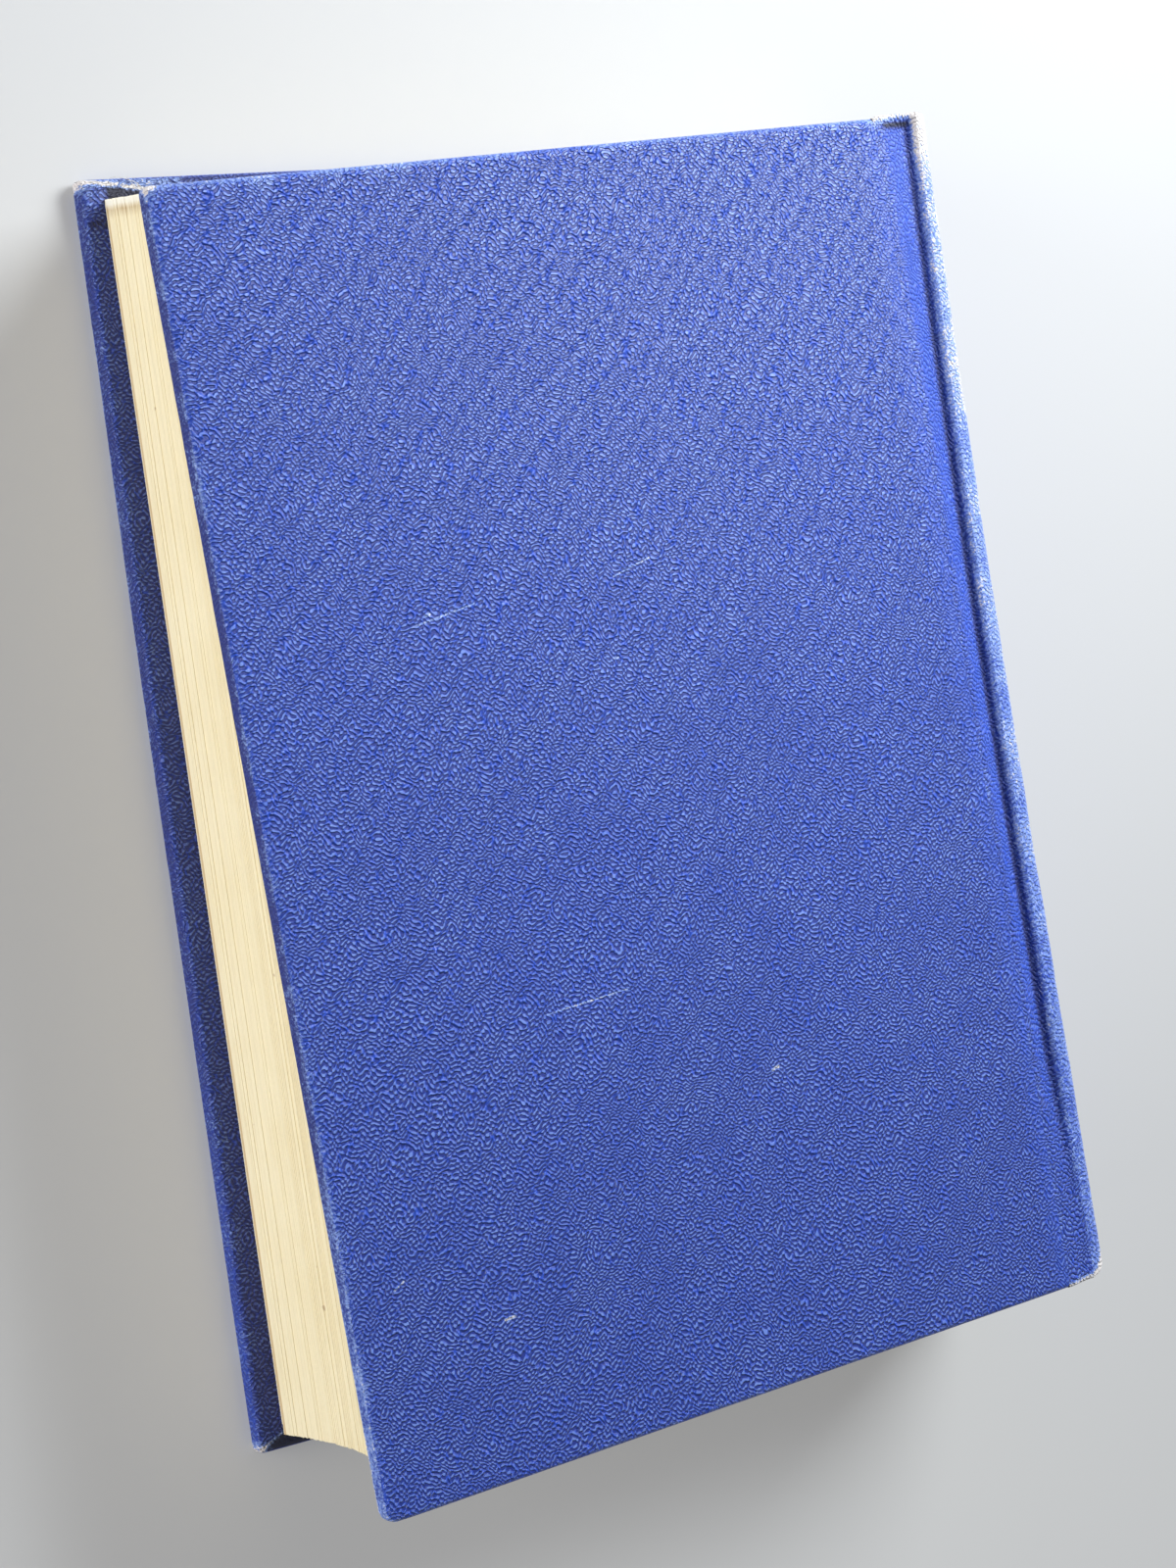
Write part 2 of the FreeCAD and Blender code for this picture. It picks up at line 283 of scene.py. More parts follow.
def cloth_material(name):
    """Blue pebble-grained leathercloth, with painted shade in the pits of its grain and a painted highlight
    on its tops. Each point's wear bares pale fibres, plain keeps the grain away, and its shade is painted
    shade that darkens it, to deep blue at 1 and to a nearly black painted shadow at 2."""
    n = Nodes(name)
    rest = n.attribute("rest", "Vector")
    wear, plain, shade = n.attribute("wear"), n.attribute("plain"), n.attribute("shade")
    ripple = n.waves(n.pushed(n.pushed(n.pushed(rest, 2.4, 1.2), 7.0, 1.8), 40.0, 6.0), 0.78)
    pebble = n.between(ripple, -0.9, 1.1)
    fine = n.noise(rest, 0.4, 1.0, 0.6)
    broad = n.noise(rest, 9.0, 2.0, 0.55)
    large = n.noise(rest, 55.0, 1.0, 0.5)

    kept = n.math("SUBTRACT", 1.0, plain)
    grain_height = n.math("ADD", n.math("MULTIPLY", pebble, kept), n.math("MULTIPLY", fine, 0.12))
    normal = n.bump(grain_height, 0.5)

    ground = n.mix(n.between(large, 0.3, 0.7, 0.0, 0.35), BLUE, WARM_BLUE)
    ground = n.mix(n.math("MULTIPLY", plain, 0.35), ground, SMOOTH_BLUE)
    # Painted shade: where a point's shade is set, the cloth darkens towards deep blue.
    ground = n.mix(shade, ground, SHADE_BLUE)
    # Painted shade in the pits of the grain.
    pit = n.math("MULTIPLY", n.between(ripple, -1.1, 0.3, 0.9, 0.0), kept)
    ground = n.mix(pit, ground, PIT_SHADE, "MULTIPLY")
    # Painted highlight on the tops of the grain, dimmer where shade is painted.
    ridge = n.math("MULTIPLY", n.between(ripple, 0.3, 1.6), n.between(broad, 0.25, 0.75, 0.34, 0.62))
    ridge = n.math("MULTIPLY", ridge, n.between(shade, 0.0, 1.0, 1.0, 0.4))
    ground = n.mix(n.math("MULTIPLY", ridge, kept), ground, PALE_BLUE)
    # Painted shadow: shade from 1 to 2 darkens the cloth to nearly black.
    ground = n.mix(n.between(shade, 1.0, 2.0), ground, SHADOW_BLUE)

    speck = n.noise(rest, 0.55, 2.0, 0.7)
    for a, b, width in SCUFFS:
        scuff = n.near_line(rest, (*a, THICK), (*b, THICK), width)
        wear = n.math("ADD", wear, n.math("MULTIPLY", scuff, 0.62))
    worn = n.math("ADD", wear, n.math("MULTIPLY", n.math("SUBTRACT", speck, 0.5), 1.5))
    worn = n.math("ADD", worn, n.math("MULTIPLY", n.math("SUBTRACT", broad, 0.5), 0.8))
    some = n.math("GREATER_THAN", wear, 0.01)
    thin = n.math("MULTIPLY", n.between(worn, 0.16, 0.62), some)
    bare = n.math("MULTIPLY", n.between(worn, 0.60, 0.86), some)
    surface = n.mix(n.math("MULTIPLY", thin, 0.75), ground, PALE_BLUE)
    surface = n.mix(bare, surface, FIBRE)
    dull = n.math("ADD", n.math("MULTIPLY", bare, 0.35), n.between(shade, 0.0, 1.0, 0.0, 0.2))
    roughness = n.math("ADD", n.between(broad, 0.2, 0.8, 0.40, 0.48), dull)
    return n.surface(Base_Color=surface, Normal=normal, Roughness=roughness, Specular_IOR_Level=0.5,
                     Sheen_Weight=0.06, Sheen_Roughness=0.5)


def paper_material(name, tint, edge):
    """Leaf edges seen as fine lines where edge is set, otherwise the flat of a leaf."""
    n = Nodes(name)
    rest = n.attribute("rest", "Vector") if edge else n.object_place()
    mottle = n.noise(rest, 14.0, 4.0, 0.6)
    aged = tuple(c * f for c, f in zip(tint, (0.95, 0.92, 0.84)))
    base = n.mix(n.between(mottle, 0.3, 0.75, 0.0, 0.5), tint, aged)
    if edge:
        along = n.stretched(rest, (0.03, 0.03, 3.2))
        lines = n.noise(along, 1.0, 3.0, 0.75)
        wide = n.noise(n.stretched(rest, (0.015, 0.015, 0.8)), 1.0, 2.0, 0.6)
        dark = n.math("MULTIPLY", n.between(lines, 0.50, 0.68), 0.22)
        base = n.mix(dark, base, (0.58, 0.46, 0.26))
        base = n.mix(n.between(wide, 0.5, 0.8, 0.0, 0.18), base, (0.72, 0.60, 0.36))
        base = n.mix(n.attribute("tan"), base, (0.50, 0.30, 0.12))
        # Whiter last leaves, and a painted highlight along the top of the fore edge.
        base = n.mix(n.attribute("white"), base, (0.90, 0.87, 0.76))
        # A brown band just below the head, following the lines.
        stain = n.math("MULTIPLY", n.attribute("stain"), n.between(lines, 0.35, 0.6))
        base = n.mix(stain, base, (0.42, 0.27, 0.12))
        spots = n.noise(rest, 3.2, 2.0, 0.4)
        base = n.mix(n.between(spots, 0.755, 0.80, 0.0, 0.5), base, (0.36, 0.20, 0.10))
        height = n.math("ADD", lines, n.math("MULTIPLY", n.noise(rest, 0.5, 3.0, 0.7), 0.3))
        normal = n.bump(height, 0.05, 0.8)
    else:
        fibres = n.noise(rest, 0.6, 4.0, 0.7)
        base = n.mix(n.between(n.noise(rest, 30.0, 3.0, 0.6), 0.55, 0.8, 0.0, 0.25), base, (0.55, 0.40, 0.22))
        normal = n.bump(fibres, 0.03, 0.6)
    return n.surface(Base_Color=base, Normal=normal, Roughness=n.between(mottle, 0.2, 0.8, 0.82, 0.92),
                     Specular_IOR_Level=0.25)


def plain_material(name, first, second, pitch, depth, weave=None):
    """Board, card and gauze: two tones of fibres, or threads crossing at the weave's pitch."""
    n = Nodes(name)
    place = n.object_place()
    flecks = n.noise(place, pitch, 4.0, 0.7)
    share = n.between(flecks, 0.35, 0.7)
    if weave:
        # At a scale of 1 the bands of a wave texture repeat every 0.314.
        inputs = {"Vector": place, "Scale": 0.314 / weave, "Distortion": 0.6}
        bands = [n.node("ShaderNodeTexWave", inputs, bands_direction=way).outputs["Fac"] for way in "YZ"]
        share = n.math("MULTIPLY", n.math("MAXIMUM", *bands), n.between(flecks, 0.2, 0.8, 0.7, 1.0))
    return n.surface(Base_Color=n.mix(share, first, second), Normal=n.bump(share, depth, 0.8),
                     Roughness=n.between(flecks, 0.2, 0.8, 0.78, 0.92), Specular_IOR_Level=0.2)


CLOTH_LOOK = cloth_material("cover_cloth")
LEAF_EDGES = paper_material("leaf_edges", (0.87, 0.775, 0.54), True)
ENDPAPER = paper_material("endpaper", (0.76, 0.69, 0.51), False)
BOARD = plain_material("grey_board", (0.24, 0.22, 0.19), (0.36, 0.34, 0.29), 0.7, 0.08)
CARD = plain_material("spine_card", (0.34, 0.25, 0.15), (0.46, 0.36, 0.23), 0.9, 0.05)
GAUZE = plain_material("gauze", (0.40, 0.36, 0.28), (0.72, 0.69, 0.60), 0.8, 0.12, weave=0.9)
THREAD = plain_material("frayed_thread", (0.55, 0.52, 0.50), (0.85, 0.83, 0.80), 0.2, 0.02)


# Covers
def cover_point(side, u, v, depth):
    """Row-frame place of a point of a cover: u from the spine edge, v from the tail."""
    cover = COVERS[side]
    c, s = math.cos(cover["turn"]), math.sin(cover["turn"])
    x = cover["about"][0] - u * c - v * s
    y = cover["about"][1] - u * s + v * c
    z = depth if side == "front" else THICK - depth
    return np.stack([x, y, z + 0 * x], axis=-1)


def rim_profile(edge):
    """Inset and depth of the cloth from the outer face round the rim to the end of its turn-in."""
    outer = [(i, 0.0) for i in (14, 10, 7, 5, 3.6, 2.6, 2.0, 1.6)]
    bend = [math.pi / 2 * k / 6 for k in range(7)]
    near = [(edge - edge * math.sin(a), edge - edge * math.cos(a)) for a in bend]
    flank = [(0.0, lerp(edge, COVER_T - edge, k / 4)) for k in (1, 2, 3)]
    far = [(edge - edge * math.cos(a), COVER_T - edge + edge * math.sin(a)) for a in bend]
    inner = [(i, COVER_T) for i in (1.6, 1.9, 2.3, 2.8, 3.4, 4.1, 4.8, 5.6, 6.4, 7.2, 8, 10, TURN_IN)]
    return outer + near + flank + far + inner + [(TURN_IN, COVER_T - CLOTH)]


def rim_path(inset, along, up, corners, arc=6):
    """The rim at an inset: tail side, fore edge and head side, from the spine and back to it."""
    (low, low_bend), (high, high_bend) = [(max(inset, c), max(c - inset, 0.0)) for c in corners]
    turns = [math.pi / 2 * k / arc for k in range(1, arc)]
    points = [(t * (COVER_W - low), inset) for t in along]
    points += [(COVER_W - low + low_bend * math.sin(a), low - low_bend * math.cos(a)) for a in turns]
    points += [(COVER_W - inset, lerp(low, COVER_H - high, t)) for t in up]
    points += [(COVER_W - high + high_bend * math.cos(a), COVER_H - high + high_bend * math.sin(a))
               for a in turns]
    points += [(t * (COVER_W - high), COVER_H - inset) for t in reversed(along)]
    return points


def cover_skin(side, wear_at):
    """Cloth over the outer face, round the rim and turned in, with its knocks and waves."""
    along, up = spread(COVER_STEPS_ACROSS), spread(COVER_STEPS_UP)
    rings, profile = [], rim_profile(COVERS[side]["edge"])
    for inset, depth in profile:
        path = rim_path(inset, along, up, COVERS[side]["corners"])
        rings.append([(u, v, depth, inset) for u, v in path])
    columns = len(rings[0])
    flat = [point for ring in rings for point in ring]
    faces = grid_faces(len(rings), columns)
    start = len(flat)
    first = profile[0][0]
    for t in up:
        flat += [(s * (COVER_W - first), lerp(first, COVER_H - first, t), 0.0, first) for s in along]
    faces += [tuple(reversed(f)) for f in grid_faces(len(up), len(along), start)]
    u, v, depth, inset = np.array(flat).T
    points = cover_point(side, u, v, depth)

    jitter = rough(points, 0.8, 5.0) * 0.05 + rough(points, 2.6, 9.0) * 0.05
    near_rim = np.exp(-np.minimum(np.hypot(inset, depth), np.hypot(inset, COVER_T - depth)) / 1.2)
    hold = smooth(0, 4, u)
    inward = jitter * near_rim * hold
    wave = rough(np.stack([u, v, 0 * u], axis=-1), 60.0, 2.0) * 0.16 * smooth(0.9, 12, inset) * (depth < 0.01)
    if side == "front":
        # It lies on the table, so it waves only upwards, and its fore edge has spread near the tail.
        wave = np.maximum(wave, 0)
        inward = inward - 0.6 * smooth(COVER_H, 120, v) * smooth(25, 3, COVER_W - u)
    dent_u, dent_v, dent_d = corner_shape(side, u, v, depth)
    points = cover_point(side, np.clip(u - inward + dent_u, 0, None), v + dent_v,
                         depth + wave * hold + dent_d)
    wear, plain, shade = wear_at(u, v, depth, inset)
    piece = mesh_piece(f"{side}_cover_skin", points, faces, CLOTH_LOOK, f"{side}_cover",
                       flip=side == "front", soft_angle=50, wear=wear, plain=plain, shade=shade)
    merge(piece)
    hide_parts(f"{side}_cover_cloth")


def merge(piece):
    """Points that lie on each other become one, where the rings meet the flat of the face."""
    work = bmesh.new()
    work.from_mesh(piece.data)
    bmesh.ops.remove_doubles(work, verts=work.verts, dist=0.004 * MM)
    work.to_mesh(piece.data)
    work.free()


def corner_shape(side, u, v, depth):
    """Knocked corners: how far their points have moved in u, v and depth."""
    tail = np.exp(-(np.hypot(COVER_W - u, v) / 3.5) ** 2)
    head = np.exp(-(np.hypot(COVER_W - u, COVER_H - v) / 3.5) ** 2)
    push = 0.1 if side == "back" else 0.0
    squeeze = 0.5 * (0.5 - depth / COVER_T)
    fold = 0.0
    if side == "front":
        fold = 0.22 * smooth(8.0, 7.0, COVER_H - v) * smooth(4.4, 3.4, COVER_W - u) * (depth > 3)
    return -push * tail, push * tail, squeeze * (0.6 * tail + head) + fold


def back_wear(u, v, depth, inset):
    """Wear, lack of grain and painted shade of the cover that lies on top."""
    fore, head = COVER_W - u, COVER_H - v
    outer = np.exp(-(np.hypot(inset, depth) / 0.8) ** 2)
    on_fore, on_head, on_tail = (np.exp(-(x / 1.8) ** 2) for x in (fore, head, v))
    flank = (depth > 0.3) & (inset < 1.5)
    low = smooth(75, 5, v)
    wear = outer * (0.30 * on_fore + 0.36 * on_head + 0.24 * on_tail) + 0.16 * on_head * (depth < 1.2)
    wear += on_fore * flank * (0.10 + 0.22 * low) + 0.40 * on_fore * low * bump(depth, 2.9, 0.5)
    wear -= 0.22 * outer * on_fore * smooth(24, 8, v)
    wear += 0.72 * np.exp(-(fore / 2.2) ** 2 - (head / 1.1) ** 2)
    wear += 0.30 * np.exp(-(np.hypot(fore, v) / 3.6) ** 2) * (inset < 1.0)
    plain = 0.7 * np.exp(-(inset / 0.7) ** 2) + 0.4 * smooth(5, 0, u)
    # Painted shade on the fore-edge flank, lighter towards the tail.
    shade = on_fore * flank * (1.1 - 0.55 * low)
    return wear, plain, shade


def front_wear(u, v, depth, inset):
    """The same for the cover that the book lies on, whose turned-in cloth shows at the fore edge."""
    fore, head = COVER_W - u, COVER_H - v
    inside = smooth(COVER_T - 0.6, COVER_T - 0.1, depth)
    outer = np.exp(-(np.hypot(inset, depth) / 0.8) ** 2)
    on_fore, on_head = np.exp(-(fore / 1.8) ** 2), np.exp(-(head / 1.8) ** 2)
    top = smooth(90, 210, v)
    # Wear round the rim, with a painted highlight as a pale band along the head edge.
    wear = outer * (0.38 + 0.30 * top * on_fore) + 0.06 * on_fore + 0.16 * on_head * (1 - inside)
    crease = head - 0.155 * fore - 0.25
    # Along the head of the turn-in: a white worn line, and between it and the edge a pale band that is
    # painted light.
    wear += inside * (0.95 * bump(crease, 0.0, 0.30) + 0.46 * smooth(0.2, -0.2, crease)) * (fore < 20)
    wear += np.exp(-(np.hypot(fore, head) / 1.8) ** 2)
    wear += 0.9 * np.exp(-(np.hypot(fore, v) / 1.8) ** 2)
    tuck = v - 0.6 - 0.477 * fore
    wear += inside * 0.55 * bump(tuck, 0.0, 0.28) * (fore < 9)
    plain = 0.5 * np.exp(-(inset / 0.7) ** 2) + 0.8 * inside * smooth(0.1, -0.1, tuck)
    fold = head - 7.4 - 0.066 * fore
    low = smooth(90, 10, v)
    # Painted shade on the turned-in cloth under the overhang, darker towards the tail and next to the leaves,
    # with painted shadow along the mitre fold, in the corner by the tail and in the gap above the leaves'
    # head.
    shade = inside * (0.55 + 0.25 * low + 0.5 * smooth(3.0, 7.0, fore)
                      + 1.3 * bump(fold, 0.0, 0.45) * smooth(0.3, 1.0, fore)
                      + 1.2 * smooth(0.1, -0.2, tuck) * (fore > 0.4)
                      + 1.3 * smooth(4.2, 5.6, fore) * smooth(0.15, 0.45, crease) * smooth(7.0, 5.4, head))
    # Painted shade on the fore-edge flank, lighter towards the tail.
    shade += (0.95 - 0.5 * low) * on_fore * (1 - inside) * smooth(0.3, 0.9, depth)
    return wear, plain, np.clip(shade, 0, 2)


# Spine and joints
def share_at(level):
    """Share of the way up through the leaves, from 0 to 1."""
    return np.clip((level - FLOOR) / BLOCK, 0, 1)


def spine_height(height, level):
    """A height along the lower side of the spine, moved to where it lies at this level."""
    share = share_at(level)
    return lerp(-UPPER_TAIL * share, TALL - UPPER_HEAD * share, height / TALL)


def spine_point(reach, height, level):
    """Row-frame place of a point of the spine, its reach counted from the bottom of the groove."""
    share = share_at(level)
    bow = -SPINE_BOW * share**2 * np.sin(np.pi * np.clip(height / TALL, 0, 1) ** 1.3)
    x = VALLEY + reach + LEAN * share - height * np.tan(SKEW * share) + bow
    x = x - HEAD_SINK * share**2 * np.exp(-((TALL - height) / 40) ** 2) * smooth(1.5, 4.0, reach)
    return np.stack([x, TAIL + height + 0 * x, level + 0 * x], axis=-1)


def spine_ends(reach, height, level):
    """How far the rounded ends of the spine lift its tail and drop its head here."""
    upper = float(smooth(20, 34, level))
    low_r, high_r = lerp(1.2, 5.5, upper), lerp(1.0, 2.0, upper)
    low_run = min(max(reach - 0.5, 0.0), low_r)
    high_run = min(max(reach - 6.2 + high_r, 0.0), high_r)
    lift = (low_r - math.sqrt(low_r**2 - low_run**2)) * math.exp(-height / low_r)
    drop = (high_r - math.sqrt(high_r**2 - high_run**2)) * math.exp(-(TALL - height) / high_r)
    return lift, drop


def spine_section():
    """Reach, level and outward direction round the spine, from the front hinge line to the back's."""
    rows = [(HINGE_REACH, RIDGE_DROP, 0, -1), (HINGE_REACH + 0.25, RIDGE_DROP, 0, -1)]
    centre = RIDGE_DROP + SPINE_CORNER
    for k in range(CORNER_STEPS + 1):
        a = math.pi / 2 * k / CORNER_STEPS
        rows.append((RIDGE_REACH + SPINE_CORNER * math.sin(a), centre - SPINE_CORNER * math.cos(a),
                     math.sin(a), -math.cos(a)))
    low_side = list(rows)
    half = THICK / 2
    span = half - centre
    radius = (span**2 + BACK_ROUND**2) / (2 * BACK_ROUND)
    for k in range(1, BACK_STEPS):
        z = lerp(centre, THICK - centre, k / BACK_STEPS)
        x = RIDGE_REACH + SPINE_CORNER + math.sqrt(radius**2 - (z - half) ** 2) - (radius - BACK_ROUND)
        rows.append((x, z, math.sqrt(radius**2 - (z - half) ** 2) / radius, (z - half) / radius))
    rows += [(x, THICK - z, nx, -nz) for x, z, nx, nz in reversed(low_side)]
    return np.array(rows)


def fold_section(length, thick, steps):
    """Height and depth of cloth with both ends turned in: flap, rolled end, outer face and back."""
    r = thick / 2
    roll = [(r - r * math.sin(a), r + r * math.cos(a)) for a in (math.pi * k / 6 for k in range(7))]
    tail = [(TURN_IN, thick - CLOTH), (TURN_IN, thick), (TURN_IN * 0.4, thick)] + roll
    middle = [(h, 0.0) for h in lerp(r + 0.3, length - r - 0.3, spread(steps, 0.8))]
    head = [(length - h, d) for h, d in reversed(tail)]
    return np.array(tail + middle + head)


def spine_strip_wear(high):
    """Wear of the upper edge of the spine, by the distance below the head."""
    return 0.40 + 0.20 * smooth(120, 10, high) + 0.5 * np.exp(-(high / 7.0) ** 2)


def spine_skin():
    """Cloth round the spine, with both ends turned in over the card."""
    section = spine_section()
    count = len(section)
    rolls = []
    for level in section[:, 1]:
        over_card = smooth(4.0, 5.2, min(level, THICK - level))
        rolls.append(fold_section(TALL, TWO_CLOTHS + CARD_ROOM * float(over_card), 110))
    rows = len(rolls[0])
    points, facts = [], []
    for row in range(rows):
        for (reach, level, nx, nz), roll in zip(section, rolls):
            h, d = roll[row]
            lift, drop = spine_ends(reach, h, level)
            at = spine_point(reach - nx * d, spine_height(h + lift - drop, level), level - nz * d)
            points.append(at)
            facts.append((h, reach, level, min(h / (1 + 0.75 * lift), (TALL - h) / (1 + 0.55 * drop))))
    points = np.array(points)
    h, reach, level, from_end = np.array(facts).T
    wobble = rough(points, 3.0, 4.0) * 0.10 + rough(points, 18.0, 7.0) * 0.22
    points[:, 0] += wobble * smooth(2.0, 4.0, reach)
    high = TALL - h
    strip = smooth(35.8, 38.2, level)
    low_strip = smooth(5.2, 2.8, level) * smooth(1.7, 2.6, reach)
    rim = np.exp(-from_end**2)
    wear = strip * spine_strip_wear(high)
    wear += 0.42 * low_strip + 0.10 * smooth(3, 5, reach) + 0.5 * rim + 0.4 * rim * strip
    wear += 0.5 * np.exp(-(h / 3.0) ** 2) * smooth(2.0, 4.0, reach)
    plain = 0.3 + 0.3 * rim + 0.2 * strip
    # Painted shade on the spine beside the front groove.
    shade = 0.35 * (reach < 1.9) * (level < 20)
    piece = mesh_piece("spine_skin", points, grid_faces(rows, count), CLOTH_LOOK, "book_block",
                       flip=True, soft_angle=60, wear=wear, plain=plain, shade=shade)
    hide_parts("spine_cloth")


def card_strip():
    """The card inside the spine cloth, bent as the cloth is."""
    half, centre = THICK / 2, RIDGE_DROP + SPINE_CORNER + 0.05
    points, columns = [], 25
    heights = lerp(CARD_MARGIN, TALL - CARD_MARGIN, spread(80, 0.8))
    for depth in CARD_FACES:
        for h in heights:
            for k in range(columns):
                z = lerp(centre, THICK - centre, k / (columns - 1))
                bulge = BACK_ROUND * (1 - ((z - half) / (half - centre)) ** 2)
                outer = RIDGE_REACH + SPINE_CORNER + bulge
                lift, drop = spine_ends(outer, h, z)
                points.append(spine_point(outer - depth, spine_height(h + lift - drop, z), z))
    sheet = len(heights) * columns
    faces = grid_faces(len(heights), columns)
    faces += [tuple(reversed(f)) for f in grid_faces(len(heights), columns, sheet)]
    edge = list(range(columns)) + [r * columns + columns - 1 for r in range(1, len(heights))]
    edge += [sheet - 1 - k for k in range(1, columns)] + [r * columns for r in range(len(heights) - 2, 0, -1)]
    for a, b in zip(edge, edge[1:] + edge[:1]):
        faces.append((b, a, a + sheet, b + sheet))
    piece = mesh_piece("spine_card", np.array(points), faces, CARD, "book_block", soft_angle=40)
    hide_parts("spine_inlay")


def joint_skin(side):
    """Cloth from the board's edge down into the groove and up to the ridge beside the spine."""
    across = np.linspace(0, 1, JOINT_STEPS)
    points, facts = [], []
    for v, d in fold_section(COVER_H, TWO_CLOTHS, 96):
        spine_h = v / COVER_H * TALL
        head_rim = math.exp(-((TALL - spine_h) / 1.4) ** 2)
        edge = cover_point(side, np.array(0.0), np.array(v), np.array(0.0))
        top = THICK - RIDGE_DROP if side == "back" else RIDGE_DROP
        ridge = spine_point(HINGE_REACH, spine_height(spine_h, top), top)
        width = float(np.hypot(*(ridge - edge)[:2]))
        valley = 1 - HINGE_REACH / width
        full = float(smooth(8, 48, spine_h)) if side == "back" else 1.0
        deep = lerp(TAIL_JOINT_DEPTH, JOINT_DEPTH, full)
        for t in across:
            if t < valley:
                s = (t / valley) ** 1.15
                depth = deep * (0.5 - 0.5 * math.cos(math.pi * s))
            else:
                s = (t - valley) / (1 - valley)
                depth = lerp(deep, RIDGE_DROP, s * s * (3 - 2 * s))
            at = lerp(edge, ridge, t)
            depth *= 1 - 0.7 * head_rim
            at[1] += 0.45 * (float(smooth(0, 1.6, t * width)) - t) * math.exp(-(COVER_H - v) / 6)
            level = depth + d
            points.append((at[0], at[1], THICK - level if side == "back" else level))
            facts.append((spine_h, t, valley, width, d))
    points = np.array(points)
    h, t, valley, width, d = np.array(facts).T
    joint_paper(side, points, h, t, d)
    high, past = TALL - h, (t - valley) * width
    rim = np.exp(-(h / 0.9) ** 2) + np.exp(-(high / 1.2) ** 2)
    strength = smooth(6, 60, h) if side == "back" else 1.0 + 0 * h
    rising = smooth(0.35, 1.0, past) * smooth(-20, 40, h)
    wear = rim + 0.10 * smooth(0.25, 0.0, t) + rising * spine_strip_wear(high)
    plain = 0.1 + 0.35 * strength * smooth(0.0, 0.25, t)
    # Painted shade along the bottom of the groove, and a nearly black painted shadow in the gap just below
    # the rolled head.
    shade = 0.95 * np.exp(-((past + 0.15) / 0.6) ** 2) * strength * smooth(1, 4, high)
    shade += 2.3 * bump(high, 1.8, 0.5) * smooth(0.12, 0.3, t) * smooth(1.0, 0.8, t)
    faces = grid_faces(len(points) // JOINT_STEPS, JOINT_STEPS)
    piece = mesh_piece(f"{side}_joint_skin", points, faces, CLOTH_LOOK, None,
                       flip=side == "back", soft_angle=60, wear=wear, plain=plain, shade=shade)
    bend_with_cover(piece)
    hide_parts(f"{side}_joint_cloth")


def joint_paper(side, points, h, t, d):
    """The fold of the endpaper, which lines the inside of the joint between the squares."""
    inner = (t > 0.03) & (t < 0.85) & (d == 0.0) & (h > PAPER_MARGIN) & (h < TALL - PAPER_MARGIN)
    columns = int(inner.sum() / len(np.unique(h[inner])))
    lift = -PAPER_LIFT if side == "back" else PAPER_LIFT
    paper = points[inner] + np.array([0.0, 0.0, lift])
    faces = grid_faces(len(paper) // columns, columns)
    piece = mesh_piece(f"{side}_joint_paper", paper, faces, ENDPAPER, None, flip=side == "front")
    bend_with_cover(piece)


def bend_with_cover(piece):
    """The piece's place, baked into its points."""
    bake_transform(piece)


# Text block
def leaf_outline(share, left, right, level, low=0.0, high=LEAF_H):
    """A leaf's outline in the row frame: tail, spine, head and fore edge in turn."""
    turn = SKEW * share
    c, s = math.cos(turn), math.sin(turn)
    corners = [(left, low), (right, low), (right, high), (left, high)]
    steps = (WIDE_STEPS, TALL_STEPS, WIDE_STEPS, TALL_STEPS)
    points = []
    for k, n in enumerate(steps):
        (ax, ay), (bx, by) = corners[k], corners[(k + 1) % 4]
        for t in spread(n, CORNER_PULL)[:-1]:
            points.append((lerp(ax, bx, t), lerp(ay, by, t)))
    x, y = np.array(points).T
    return np.stack([LEAF_EDGE + LEAN * share + x * c - y * s, LEAF_TAIL + x * s + y * c, level + 0 * x],
                    axis=-1)


